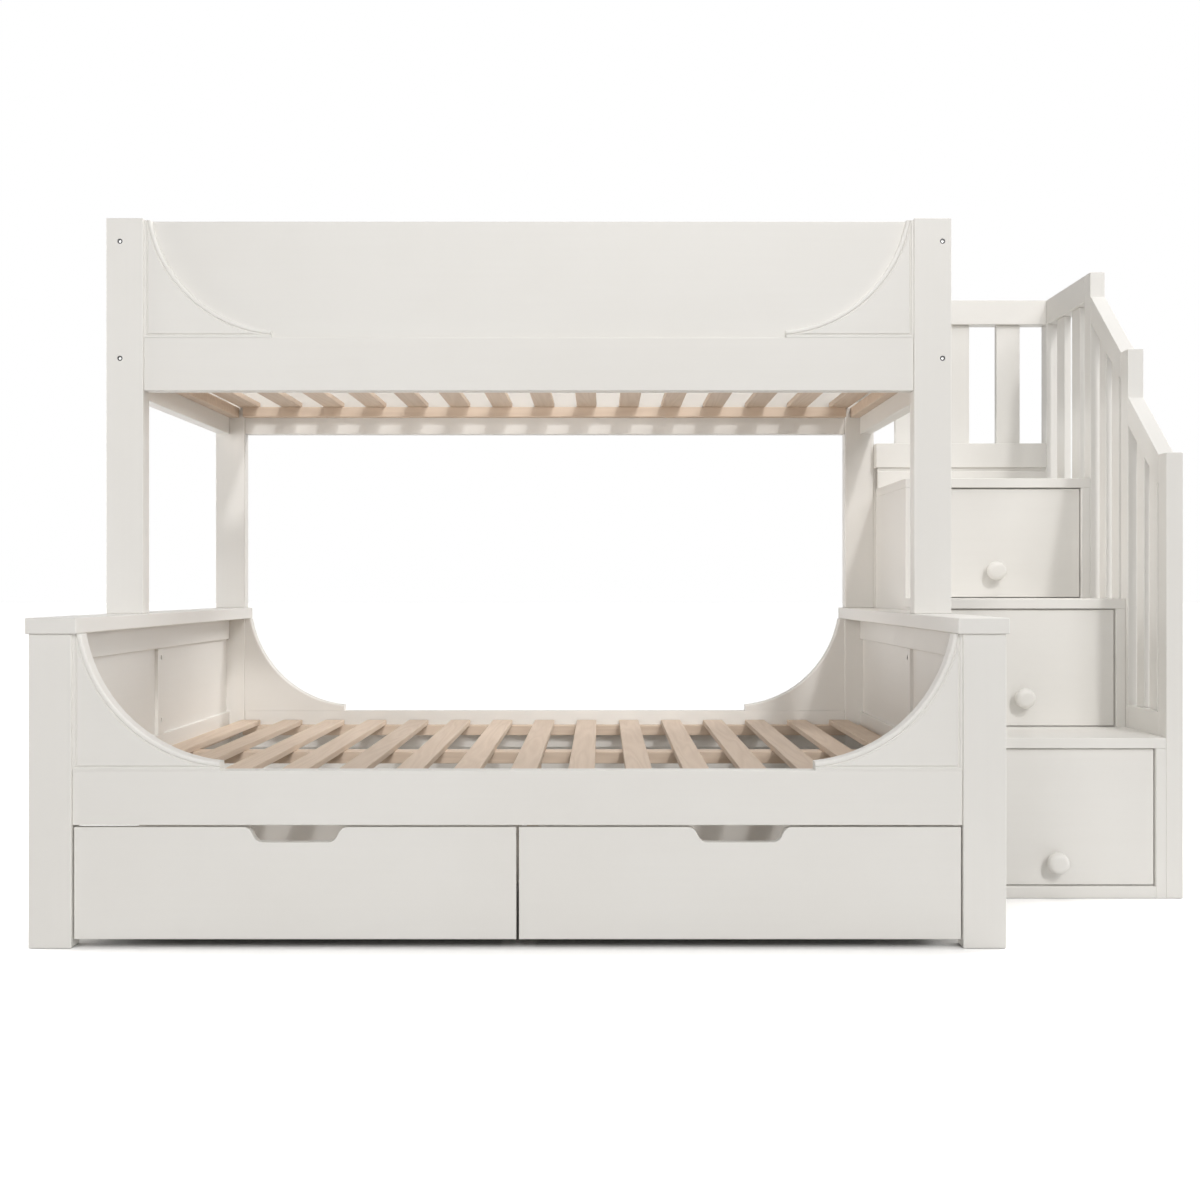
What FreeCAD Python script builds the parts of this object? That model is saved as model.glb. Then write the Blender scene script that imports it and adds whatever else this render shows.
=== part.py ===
import FreeCAD, Part
import os
import re
import Sketcher

# Bunk bed with stairs: a double bed below, a single bed set back above it, and a chest of
# drawers beside its right end whose three tops are the stairs.
# +X runs along the bed towards the stairs, -Y is the front, +Z is up.
# The origin lies on the floor, under the middle of the whole object.

# Driving sizes in millimetres
SIZES = {
    # shared by all pieces
    "overrun": 5,
    "clearance": 0.3,
    "edge_round": 2,
    "fine_round": 0.8,
    # legs, caps and rails of the lower bed
    "bed_length": 2000,
    "lower_depth": 1440,
    "leg_wide": 88,
    "leg_thick": 46,
    "leg_height": 643,
    "cap_wide": 106,
    "cap_thick": 33,
    "cap_overhang": 6,
    "cap_round": 3,
    "rail_thick": 36,
    "rail_recess": 5,
    "lower_rail_base": 251,
    "lower_rail_high": 112,
    "back_board_thick": 18,
    "back_board_set_back": 9,
    # framed ends of both beds
    "end_thick": 36,
    "end_recess": 6,
    "end_top_high": 61.5,
    "end_bottom_high": 110,
    "stile_wide": 51,
    "stile_offset": 15,
    "panel_thick": 18,
    "panel_set_back": 9,
    # curved corner pieces
    "corner_wide": 302,
    "corner_curve": 319,
    "corner_neck": 17.5,
    "corner_round": 5,
    "groove_wide": 6,
    "groove_floor": 0.4,
    "groove_inset": 11,
    "groove_margin": 7.5,
    # slats and what carries them
    "slat_wide": 59,
    "slat_thick": 15,
    "slat_end_gap": 6,
    "slat_play": 1.5,
    "ledge_wide": 30,
    "ledge_high": 30,
    "lower_slat_rise": 70,
    "upper_slat_rise": 79,
    "beam_wide": 55,
    "foot_wide": 36,
    # drawers under the bed
    "drawer_base": 17,
    "drawer_top_gap": 4,
    "drawer_thick": 20,
    "drawer_recess": 6,
    "drawer_side_gap": 3,
    "drawer_middle_gap": 5.5,
    "notch_mouth": 190,
    "notch_slant": 16,
    "notch_deep": 31,
    "notch_round": 20,
    "box_depth": 640,
    "box_high": 165,
    "box_inset": 25,
    "board_thick": 15,
    "box_bottom_thick": 9,
    # castors of those drawers
    "wheel_diameter": 24,
    "wheel_wide": 14,
    "axle_diameter": 5,
    "axle_fit": 0.05,
    "cheek_thick": 2,
    "cheek_wide": 16,
    "plate_long": 44,
    "castor_gap": 4,
    "castor_inset": 70,
    # upper bed
    "upper_setback": 450,
    "upper_rail_base": 1204,
    "upper_rail_high": 126,
    "guard_panel_high": 278,
    "post_rise": 4,
    "guard_panel_thick": 24,
    "upper_end_top_high": 76,
    "entry_wide": 412,
    "entry_post_wide": 46,
    # carcass of the stairs
    "first_tread": 381,
    "landing_drop": 167,
    "landing_depth": 379,
    "step_run": 258.5,
    "tread_thick": 25.5,
    "tread_tongue": 40,
    "stair_wide": 507,
    "stair_side_thick": 24,
    "stair_back_inset": 82,
    "stair_back_thick": 18,
    "plinth_high": 28,
    "kickboard_thick": 18,
    "upstand_high": 51,
    "upstand_gap": 11,
    "upstand_gap_deep": 8,
    # drawers of the stairs
    "front_gap": 2,
    "front_recess": 10,
    "front_thick": 18,
    "stair_box_back_gap": 56,
    "stair_box_drop": 87,
    "stair_box_lift": 21,
    "stair_board_thick": 12,
    "stair_bottom_thick": 6,
    "side_play": 4,
    "runner_wide": 22,
    "runner_high": 16,
    "knob_diameter": 52,
    "knob_depth": 42,
    "knob_neck_diameter": 20,
    "knob_neck_long": 12,
    "knob_round": 14,
    "knob_shift": 8,
    "first_knob_lift": 56,
    "knob_lift": 72.5,
    # hand rails and balusters
    "guard_wide": 40,
    "guard_post_deep": 49,
    "guard_top_drop": 9,
    "guard_rail_high": 73,
    "upper_step_down": 66,
    "middle_step_down": 122,
    "middle_post_lead": 15.5,
    "kick_high": 58,
    "baluster_thick": 20,
    "slope_baluster_wide": 49,
    "level_baluster_wide": 65,
    "back_baluster_wide": 71,
    "back_baluster_pitch": 152.6,
    "back_baluster_shift": 7.5,
    # bolts and dowels
    "bolt_head_diameter": 12,
    "bolt_head_high": 4,
    "bolt_diameter": 8,
    "bolt_end_gap": 2,
    "bolt_sink": 1.5,
    "socket_diameter": 6,
    "socket_deep": 2.5,
    "left_bolt_inset": 33,
    "right_bolt_inset": 21,
    "upper_bolt_drop": 51,
    "lower_bolt_rise": 76,
    "stair_bolt_drop": 23.5,
    "stair_bolt_rise": 36,
    "dowel_diameter": 10,
    "dowel_reach": 22,
}

# Rise over run of the sloped hand rails
GUARD_SLOPE_SHARE = 0.85

# A fillet takes at most this share of the thinnest side of its board
ROUND_LIMIT_SHARE = 0.4

# Counts
SLATS = 15
BACK_BALUSTERS = 3

# Places and lengths that follow from the driving sizes
PLACES = {
    "bed_mid": "-(stair_wide + guard_wide) / 2",
    "bed_left": "bed_mid - bed_length / 2",
    "bed_right": "bed_mid + bed_length / 2",
    "front": "-lower_depth / 2",
    "rear": "lower_depth / 2",
    "between_legs": "bed_length - 2 * leg_wide",
    "left_leg_inside": "bed_left + leg_wide",
    "right_leg_inside": "bed_right - leg_wide",
    "end_inside": "end_recess + end_thick",
    "lower_rail_top": "lower_rail_base + lower_rail_high",
    "lower_rail_inside": "rail_recess + rail_thick",
    "end_bottom_top": "lower_rail_base + end_bottom_high",
    "stile_front": "stile_offset - stile_wide / 2",
    "lower_corner_high": "leg_height - lower_rail_top",
    "groove_deep": "(groove_wide - groove_floor) / 2",
    "ring_radius": "corner_curve + groove_inset",
    "cap_top": "leg_height + cap_thick",
    "lower_slat_base": "lower_rail_base + lower_slat_rise",
    "slat_inset": "max(leg_thick; lower_rail_inside) + slat_play",
    "slat_run": "bed_length - 2 * (end_inside + ledge_wide + slat_end_gap) - slat_wide",
    "first_slat": "bed_left + end_inside + ledge_wide + slat_end_gap",
    "drawer_wide": "(between_legs - 2 * drawer_side_gap - drawer_middle_gap) / 2",
    "drawer_high": "lower_rail_base - drawer_top_gap - drawer_base",
    "notch_floor": "notch_mouth - 2 * notch_slant",
    "drawer_front": "front + drawer_recess",
    "box_front": "drawer_front + drawer_thick",
    "wheel_axis": "wheel_diameter / 2",
    "castor_high": "wheel_diameter + castor_gap + cheek_thick",
    "upper_front": "front + upper_setback",
    "upper_inside_front": "upper_front + leg_thick",
    "upper_inside_rear": "rear - leg_thick",
    "upper_rail_top": "upper_rail_base + upper_rail_high",
    "guard_panel_top": "upper_rail_top + guard_panel_high",
    "post_top": "guard_panel_top + post_rise",
    "upper_slat_base": "upper_rail_base + upper_slat_rise",
    "overlay_thick": "rail_thick - guard_panel_thick",
    "upper_end_top_base": "guard_panel_top - upper_end_top_high",
    "entry_front": "upper_inside_rear - entry_wide",
    "stair_left": "bed_right + cap_overhang",
    "stair_right": "stair_left + stair_wide",
    "guard_back": "rear - stair_back_inset",
    "riser_3": "guard_back - landing_depth",
    "riser_2": "riser_3 - step_run",
    "riser_1": "riser_2 - step_run",
    "tread_top_1": "first_tread",
    "tread_top_3": "upper_rail_base - landing_drop",
    "tread_top_2": "(tread_top_1 + tread_top_3) / 2",
    "stair_rear": "guard_back + guard_post_deep",
    "back_face": "stair_rear - stair_back_thick",
    "carcass_inside": "stair_wide - 2 * stair_side_thick",
    "stair_front_wide": "carcass_inside - 2 * front_gap",
    "stair_front_left": "stair_left + stair_side_thick + front_gap",
    "stair_box_left": "stair_left + stair_side_thick + side_play",
    "stair_box_wide": "carcass_inside - 2 * side_play",
    "back_rail_base": "tread_top_3 + upstand_high + upstand_gap",
    "middle_post": "riser_2 - middle_post_lead",
    "front_run": "middle_post - riser_1 - guard_post_deep",
    "middle_run": "riser_3 - middle_post - guard_post_deep",
    "level_run": "guard_back - riser_3 - guard_post_deep",
    "guard_top": "post_top - guard_top_drop",
    "slope_top": "guard_top - upper_step_down",
    "middle_post_top": f"slope_top - {GUARD_SLOPE_SHARE} * middle_run",
    "low_slope_top": "middle_post_top - middle_step_down",
    "front_post_top": f"low_slope_top - {GUARD_SLOPE_SHARE} * front_run",
    "bolt_length": "end_inside + cap_overhang + stair_side_thick - bolt_end_gap",
    "upper_bolt_height": "guard_panel_top - upper_bolt_drop",
    "lower_bolt_height": "upper_rail_base + lower_bolt_rise",
    "high_stair_bolt": "leg_height - end_top_high - stair_bolt_drop",
    "low_stair_bolt": "end_bottom_top + stair_bolt_rise",
}

doc = FreeCAD.newDocument("bunk_bed_with_stairs")
nodes = []


def bound(formula, own_sheet=False):
    """The formula with each size and place written as a reference to its sheet."""

    def reference(match):
        word = match.group()
        if word in SIZES:
            return "Sizes." + word
        if word in PLACES and not own_sheet:
            return "Places." + word
        return word

    return re.sub(r"[a-z_][a-z_0-9]*", reference, formula)


def fill_sheet(name, rows):
    sheet = doc.addObject("Spreadsheet::Sheet", name)
    for row, (alias, content) in enumerate(rows.items(), start=1):
        sheet.set(f"A{row}", alias)
        sheet.set(f"B{row}", content)
        sheet.setAlias(f"B{row}", alias)
    doc.recompute()
    return sheet


fill_sheet("Sizes", {alias: str(size) for alias, size in SIZES.items()})
fill_sheet("Places", {alias: "=" + bound(formula, own_sheet=True) for alias, formula in PLACES.items()})
reading = doc.addObject("Spreadsheet::Sheet", "Reading")


def number(formula):
    """The present value of a formula of sizes and places."""
    reading.set("A1", "=" + bound(formula))
    reading.recompute()
    return float(reading.get("A1"))


def bind(piece, **formulas):
    for name, formula in formulas.items():
        piece.setExpression(name, bound(formula))


def place(piece, corner):
    for axis, formula in zip("xyz", corner):
        piece.setExpression("Placement.Base." + axis, bound(formula))


def node(label, *pieces):
    """Registers one named sub-part, made of one solid or of several separate ones."""
    piece = pieces[0]
    if len(pieces) > 1:
        piece = doc.addObject("Part::Compound", label + "_group")
        piece.Links = list(pieces)
    piece.Label = label
    nodes.append(piece)


# Basic forms

def block(name, corner, size):
    box = doc.addObject("Part::Box", name)
    bind(box, Length=size[0], Width=size[1], Height=size[2])
    place(box, corner)
    return box


def all_softened(name, base, radius):
    """A six-sided form whose twelve edges are rounded."""
    soft = doc.addObject("Part::Fillet", name)
    soft.Base = base
    soft.Edges = [(edge, radius, radius) for edge in range(1, 13)]
    return soft


def board(name, corner, size, rounding="edge_round"):
    """A block whose twelve edges are softened."""
    box = block(name + "_block", corner, size)
    radius = min(number(rounding), ROUND_LIMIT_SHARE * min(number(side) for side in size))
    return all_softened(name, box, radius)


TURNS = {
    "+X": FreeCAD.Rotation(FreeCAD.Vector(0, 1, 0), 90),
    "-X": FreeCAD.Rotation(FreeCAD.Vector(0, 1, 0), -90),
    "+Y": FreeCAD.Rotation(FreeCAD.Vector(1, 0, 0), -90),
    "-Y": FreeCAD.Rotation(FreeCAD.Vector(1, 0, 0), 90),
    "+Z": FreeCAD.Rotation(),
}


def rod(name, start, way, diameter, length):
    """A cylinder from its start point along one of the axes."""
    cylinder = doc.addObject("Part::Cylinder", name)
    cylinder.Placement = FreeCAD.Placement(FreeCAD.Vector(), TURNS[way])
    bind(cylinder, Radius=f"({diameter}) / 2", Height=length)
    place(cylinder, start)
    return cylinder


def cone(name, start, way, first_radius, last_radius, length):
    """A tapering round form from its start point along one of the axes."""
    taper = doc.addObject("Part::Cone", name)
    taper.Placement = FreeCAD.Placement(FreeCAD.Vector(), TURNS[way])
    bind(taper, Radius1=first_radius, Radius2=last_radius, Height=length)
    place(taper, start)
    return taper


def prism(name, sides, start, way, radius, length):
    """A bar of equal flat sides from its start point along one of the axes."""
    bar = doc.addObject("Part::Prism", name)
    bar.Polygon = sides
    bar.Placement = FreeCAD.Placement(FreeCAD.Vector(), TURNS[way])
    bind(bar, Circumradius=radius, Height=length)
    place(bar, start)
    return bar


def without(name, base, *tools):
    """The base with each tool cut out of it."""
    piece = base
    for count, tool in enumerate(tools, start=1):
        rest = doc.addObject("Part::Cut", f"{name}_cut_{count}")
        rest.Base = piece
        rest.Tool = tool
        piece = rest
    return piece


def softened(name, base, rounding, wanted):
    """The base with a fillet on each edge that the test accepts."""
    doc.recompute()
    radius = number(rounding)
    edges = [count for count, edge in enumerate(base.Shape.Edges, start=1) if wanted(edge)]
    soft = doc.addObject("Part::Fillet", name)
    soft.Base = base
    soft.Edges = [(count, radius, radius) for count in edges]
    return soft


def is_round(edge):
    return isinstance(edge.Curve, Part.Circle)


# Sketched forms

def body_sketch(body, plane, name):
    sketch = body.newObject("Sketcher::SketchObject", name)
    origin_plane = [part for part in body.Origin.OriginFeatures if part.Role == plane][0]
    sketch.AttachmentSupport = (origin_plane, [""])
    sketch.MapMode = "FlatFace"
    return sketch


def outline(sketch, points):
    """A closed outline whose points are held at formulas of sizes and places."""
    spots = [FreeCAD.Vector(number(across), number(up), 0) for across, up in points]
    for count, spot in enumerate(spots):
        following = spots[(count + 1) % len(spots)]
        sketch.addGeometry(Part.LineSegment(spot, following), False)
    for count in range(len(spots)):
        following = (count + 1) % len(spots)
        sketch.addConstraint(Sketcher.Constraint("Coincident", count, 2, following, 1))
    for count, formulas in enumerate(points):
        for kind, formula, axis in zip(("DistanceX", "DistanceY"), formulas, (-2, -1)):
            if number(formula) == 0:
                sketch.addConstraint(Sketcher.Constraint("PointOnObject", count, 1, axis))
                continue
            held = sketch.addConstraint(Sketcher.Constraint(kind, -1, 1, count, 1, number(formula)))
            sketch.setExpression(f"Constraints[{held}]", bound(formula))


def padded_body(name, plane, points, thick, corner, reversed_pad=False):
    body = doc.addObject("PartDesign::Body", name)
    sketch = body_sketch(body, plane, name + "_outline")
    outline(sketch, points)
    pad = body.newObject("PartDesign::Pad", name + "_pad")
    pad.Profile = sketch
    pad.Reversed = reversed_pad
    bind(pad, Length=thick)
    place(body, corner)
    doc.recompute()
    return body


def body_fillet(body, name, rounding, wanted):
    """A fillet on the edges of the body's last feature that the test accepts."""
    last = body.Tip
    names = [f"Edge{count}" for count, edge in enumerate(last.Shape.Edges, start=1) if wanted(edge)]
    fillet = body.newObject("PartDesign::Fillet", name)
    fillet.Base = (last, names)
    bind(fillet, Radius=rounding)
    doc.recompute()


def runs_along(edge, axis):
    """True for a straight edge parallel to the axis: 0 is X, 1 is Y, 2 is Z."""
    if not isinstance(edge.Curve, (Part.Line, Part.LineSegment)):
        return False
    return abs(abs(edge.Curve.Direction[axis]) - 1) < 1e-6


# Fasteners: each bolt has its own place, its way into the wood, and the space cut for it
BOLT_PLACES = {
    "front_left_high": ("bed_left + left_bolt_inset", "upper_front", "upper_bolt_height", "+Y"),
    "front_left_low": ("bed_left + left_bolt_inset", "upper_front", "lower_bolt_height", "+Y"),
    "front_right_high": ("bed_right - right_bolt_inset", "upper_front", "upper_bolt_height", "+Y"),
    "front_right_low": ("bed_right - right_bolt_inset", "upper_front", "lower_bolt_height", "+Y"),
    "rear_left_high": ("bed_left + left_bolt_inset", "rear", "upper_bolt_height", "-Y"),
    "rear_left_low": ("bed_left + left_bolt_inset", "rear", "lower_bolt_height", "-Y"),
    "rear_right_low": ("bed_right - right_bolt_inset", "rear", "lower_bolt_height", "-Y"),
    "stair_high": ("bed_right - end_inside", "stile_offset", "high_stair_bolt", "+X"),
    "stair_low": ("bed_right - end_inside", "stile_offset", "low_stair_bolt", "+X"),
}

# Holes for the same bolts at the left end, where the stairs can stand instead
SPARE_HOLES = {
    "spare_high": ("bed_left + end_inside", "stile_offset", "high_stair_bolt", "-X"),
    "spare_low": ("bed_left + end_inside", "stile_offset", "low_stair_bolt", "-X"),
}


def moved_along(spot, way, distance):
    """A point's formulas, moved along one of the axes."""
    moved = list(spot)
    moved["XYZ".index(way[1])] += f" {way[0]} ({distance})"
    return moved


def bolt(name, x, y, z, way):
    """A sunk bolt with a six-sided socket in its flat head."""
    spot = (x, y, z)
    head_top = moved_along(spot, way, "bolt_sink")
    neck = moved_along(spot, way, "bolt_sink + bolt_head_high")
    head = rod(name + "_head", head_top, way, "bolt_head_diameter", "bolt_head_high")
    shank = rod(name + "_shank", neck, way, "bolt_diameter", "bolt_length - bolt_head_high - bolt_sink")
    whole = doc.addObject("Part::Fuse", name + "_whole")
    whole.Base = head
    whole.Tool = shank
    socket_start = moved_along(head_top, way, "-overrun")
    socket = prism(name + "_socket", 6, socket_start, way, "socket_diameter / 2", "overrun + socket_deep")
    return without(name, whole, socket)


def bolt_space(name, x, y, z, way):
    """The stepped hole that a bolt lies in, open at the outer face."""
    mouth = moved_along((x, y, z), way, "-overrun")
    sunk_deep = "overrun + bolt_sink + bolt_head_high"
    hole_deep = "overrun + bolt_length + clearance"
    sunk = rod(name + "_sunk", mouth, way, "bolt_head_diameter + 2 * clearance", sunk_deep)
    hole = rod(name + "_hole", mouth, way, "bolt_diameter + 2 * clearance", hole_deep)
    return [sunk, hole]


bolt_spaces = {name: bolt_space(name, *spot) for name, spot in BOLT_PLACES.items()}
spare_spaces = {name: bolt_space(name, *spot) for name, spot in SPARE_HOLES.items()}

# Upright dowels hold the upper posts on the caps
DOWEL_PLACES = {
    "front_left": ("bed_left + leg_wide / 2", "upper_front + leg_thick / 2"),
    "front_right": ("bed_right - leg_wide / 2", "upper_front + leg_thick / 2"),
    "rear_left": ("bed_left + leg_wide / 2", "rear - leg_thick / 2"),
    "rear_right": ("bed_right - leg_wide / 2", "rear - leg_thick / 2"),
}


def dowel(name, diameter, reach):
    x, y = DOWEL_PLACES[name]
    base = f"cap_top - ({reach})"
    return rod(f"dowel_{name}_{len(doc.Objects)}", (x, y, base), "+Z", diameter, f"2 * ({reach})")


def dowel_space(name):
    return dowel(name, "dowel_diameter + 2 * clearance", "dowel_reach + clearance")


node("bolts", *[bolt("bolt_" + name, *spot) for name, spot in BOLT_PLACES.items()])
node("post_dowels", *[dowel(name, "dowel_diameter", "dowel_reach") for name in DOWEL_PLACES])


# Curved corner pieces

def groove_ring(name, x, outer, z, way):
    """A ring whose section narrows inwards from the outer face, to cut a groove along an arc."""
    outer_wall = cone(
        name + "_outer_wall",
        moved_along((x, outer, z), way, "-overrun"),
        way,
        "ring_radius + groove_floor / 2 + groove_deep + overrun",
        "ring_radius + groove_floor / 2",
        "groove_deep + overrun",
    )
    inner_wall = cone(
        name + "_inner_wall",
        moved_along((x, outer, z), way, "-2 * overrun"),
        way,
        "ring_radius - groove_floor / 2 - groove_deep - 2 * overrun",
        "ring_radius - groove_floor / 2 + overrun",
        "groove_deep + 3 * overrun",
    )
    return without(name, outer_wall, inner_wall)


def corner_piece(name, root, side, outer, way, base, high, thick, round_both):
    """A board in the corner of a leg and a rail, hollowed by one arc, with a groove along its edges.

    side says which way it reaches from the leg along X, way which way it is thick along Y,
    counted from its outer face.
    """
    across = f"({root}) + {side} *"
    low_x = root if side > 0 else f"{root} - corner_wide"
    low_y = outer if way > 0 else f"{outer} - ({thick})"
    chord = f"((corner_wide - corner_neck)^2 + ({high} - corner_neck)^2)"
    lean = f"sqrt(corner_curve^2 / {chord} - 1 / 4)"
    arc_out = f"((corner_neck + corner_wide) / 2 + {lean} * ({high} - corner_neck))"
    arc_up = f"((corner_neck + {high}) / 2 + {lean} * (corner_wide - corner_neck))"
    arc_x = f"{across} {arc_out}"
    arc_z = f"{base} + {arc_up}"
    slab = block(name + "_slab", (low_x, low_y, base), ("corner_wide", thick, high))
    hollow_start = (arc_x, f"{low_y} - overrun", arc_z)
    hollow = rod(name + "_hollow", hollow_start, "+Y", "2 * corner_curve", f"{thick} + 2 * overrun")
    shape = without(name + "_curve", slab, hollow)
    outer_place = number(outer)

    def curved(edge):
        on_outer_face = abs(edge.CenterOfMass.y - outer_place) < number("fine_round")
        return is_round(edge) and (round_both or on_outer_face)

    shape = softened(name + "_soft", shape, "corner_round", curved)
    ring = groove_ring(name + "_ring", arc_x, outer, arc_z, "+Y" if way > 0 else "-Y")
    ring_edge = "groove_margin - groove_wide / 4"
    kept_x = f"{root} + {ring_edge}" if side > 0 else f"{root} - ({ring_edge}) - corner_wide"
    kept_corner = (kept_x, f"{outer} - 3 * overrun", f"{base} + {ring_edge}")
    kept = block(name + "_kept", kept_corner, ("corner_wide", "6 * overrun", high))
    ring_part = doc.addObject("Part::Common", name + "_ring_part")
    ring_part.Base = ring
    ring_part.Tool = kept
    meet_out = f"{arc_out} - sqrt(max(0; ring_radius^2 - ({arc_up} - groove_margin)^2))"
    meet_up = f"{arc_up} - sqrt(max(0; ring_radius^2 - ({arc_out} - groove_margin)^2))"
    upright_start = (f"{across} groove_margin", outer, f"{base} + groove_margin")
    upright = prism(
        name + "_upright", 4, upright_start, "+Z", "groove_wide / 2", f"{meet_up} - groove_margin"
    )
    level_start = (f"{across} (groove_margin - groove_wide / 2)", outer, f"{base} + groove_margin")
    level_long = f"{meet_out} - groove_margin + groove_wide / 2"
    level = prism(
        name + "_level", 4, level_start, "+X" if side > 0 else "-X", "groove_wide / 2", level_long
    )
    return without(name, shape, ring_part, upright, level)


def corner_pair(label, outer, way, *form):
    left = corner_piece(label + "_left", "left_leg_inside", 1, outer, way, *form)
    right = corner_piece(label + "_right", "right_leg_inside", -1, outer, way, *form)
    node(label, left, right)


# Lower bed: legs, caps, rails, corner pieces
LEFT_AND_RIGHT = {"left": "bed_left", "right": "bed_right - leg_wide"}
LOWER_ROWS = {"front": "front", "rear": "rear - leg_thick"}

for row, y in LOWER_ROWS.items():
    for side, x in LEFT_AND_RIGHT.items():
        name = f"lower_leg_{row}_{side}"
        node(name, board(name, (x, y, "0"), ("leg_wide", "leg_thick", "leg_height")))

CAP_CORNERS = {"left": "bed_left - cap_overhang", "right": "bed_right + cap_overhang - cap_wide"}
for side, x in CAP_CORNERS.items():
    cap = board(
        f"cap_{side}_board",
        (x, "front - cap_overhang", "leg_height"),
        ("cap_wide", "lower_depth + 2 * cap_overhang", "cap_thick"),
        "cap_round",
    )
    spaces = [dowel_space(name) for name in DOWEL_PLACES if name.endswith(side)]
    node(f"cap_{side}", without(f"cap_{side}", cap, *spaces))

LOWER_RAILS = {"front": "front + rail_recess", "rear": "rear - lower_rail_inside"}
lower_rails = {}
for row, y in LOWER_RAILS.items():
    size = ("between_legs", "rail_thick", "lower_rail_high")
    lower_rails[row] = board(row + "_rail", ("left_leg_inside", y, "lower_rail_base"), size)
node("lower_rail_front", lower_rails["front"])

# A thinner board closes the back below the rear rail, set back from its inner face
back_corner = ("left_leg_inside", "rear - lower_rail_inside + back_board_set_back", "drawer_base")
back_size = ("between_legs", "back_board_thick", "lower_rail_base - drawer_base")
node("lower_rail_rear", lower_rails["rear"], board("lower_back_board", back_corner, back_size))

LOWER_CORNER = ("lower_rail_top", "lower_corner_high", "rail_thick", True)
corner_pair("lower_corners_front", "front + rail_recess", 1, *LOWER_CORNER)
corner_pair("lower_corners_rear", "rear - rail_recess", -1, *LOWER_CORNER)


# Framed ends: two rails, a stile and panels set back from the inner face

END_FACES = {"left": "bed_left + end_recess", "right": "bed_right - end_inside"}
PANEL_FACES = {
    "left": "bed_left + end_inside - panel_set_back - panel_thick",
    "right": "bed_right - end_inside + panel_set_back",
}


def end_rail(name, side, low_y, high_y, base, high):
    return board(name, (END_FACES[side], low_y, base), ("end_thick", f"{high_y} - ({low_y})", high))


def end_panel(name, side, low_y, high_y, base, top):
    size = ("panel_thick", f"{high_y} - ({low_y})", f"{top} - ({base})")
    return block(name, (PANEL_FACES[side], low_y, base), size)


for side in LEFT_AND_RIGHT:
    name = f"lower_end_{side}"
    low_y = "front + leg_thick"
    high_y = "rear - leg_thick"
    panel_top = "leg_height - end_top_high"
    stile_rear = "stile_front + stile_wide"
    top_rail = end_rail(name + "_top", side, low_y, high_y, panel_top, "end_top_high")
    bottom_rail = end_rail(name + "_bottom", side, low_y, high_y, "lower_rail_base", "end_bottom_high")
    stile = end_rail(
        name + "_stile", side, "stile_front", stile_rear, "end_bottom_top", f"{panel_top} - end_bottom_top"
    )
    holes = spare_spaces if side == "left" else bolt_spaces
    for hole, spaces in holes.items():
        if hole.startswith(("spare", "stair")):
            stile = without(f"{name}_stile_{hole}", stile, *spaces)
    front_panel = end_panel(name + "_front_panel", side, low_y, "stile_front", "end_bottom_top", panel_top)
    rear_panel = end_panel(name + "_rear_panel", side, stile_rear, high_y, "end_bottom_top", panel_top)
    node(name, top_rail, bottom_rail, stile, front_panel, rear_panel)


# Slats and the ledges that carry them

def ledge_frame(name, front_ledge, rear_ledge, inside_front, inside_rear, slat_base):
    """Four ledges round the inside of a bed, their tops level with the slats' undersides."""
    base = f"{slat_base} - ledge_high"
    side_size = ("between_legs", "ledge_wide", "ledge_high")
    end_size = ("ledge_wide", f"{inside_rear} - ({inside_front})", "ledge_high")
    corners = {
        "front": (("left_leg_inside", front_ledge, base), side_size),
        "rear": (("left_leg_inside", rear_ledge, base), side_size),
        "left": (("bed_left + end_inside", inside_front, base), end_size),
        "right": (("bed_right - end_inside - ledge_wide", inside_front, base), end_size),
    }
    return [board(f"{name}_{row}", corner, size) for row, (corner, size) in corners.items()]


def slat_row(name, bed_front, slat_base):
    size = ("slat_wide", f"rear - {bed_front} - 2 * slat_inset", "slat_thick")
    slats = []
    for count in range(SLATS):
        x = f"first_slat + {count} * slat_run / {SLATS - 1}"
        slats.append(board(f"{name}_{count + 1}", (x, f"{bed_front} + slat_inset", slat_base), size))
    return slats


lower_ledges = ledge_frame(
    "lower_ledge",
    "front + lower_rail_inside",
    "rear - lower_rail_inside - ledge_wide",
    "front + leg_thick",
    "rear - leg_thick",
    "lower_slat_base",
)
beam_length = "bed_length - 2 * (end_inside + ledge_wide)"
beam = board(
    "centre_beam",
    ("bed_left + end_inside + ledge_wide", "-beam_wide / 2", "lower_slat_base - ledge_high"),
    (beam_length, "beam_wide", "ledge_high"),
)
beam_foot = board(
    "centre_foot",
    ("bed_mid - foot_wide / 2", "-foot_wide / 2", "0"),
    ("foot_wide", "foot_wide", "lower_slat_base - ledge_high"),
)
node("lower_slat_supports", *lower_ledges, beam, beam_foot)
node("lower_slats", *slat_row("lower_slat", "front", "lower_slat_base"))


# Upper bed: posts, rails, guards, corner pieces, ends, slats
UPPER_ROWS = {"front": "upper_front", "rear": "rear - leg_thick"}

for row, y in UPPER_ROWS.items():
    for side, x in LEFT_AND_RIGHT.items():
        name = f"upper_post_{row}_{side}"
        post = board(name + "_board", (x, y, "cap_top"), ("leg_wide", "leg_thick", "post_top - cap_top"))
        spaces = [dowel_space(f"{row}_{side}")]
        for place_name, bolt_parts in bolt_spaces.items():
            if place_name.startswith(f"{row}_{side}"):
                spaces += bolt_parts
        node(name, without(name, post, *spaces))

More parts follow.
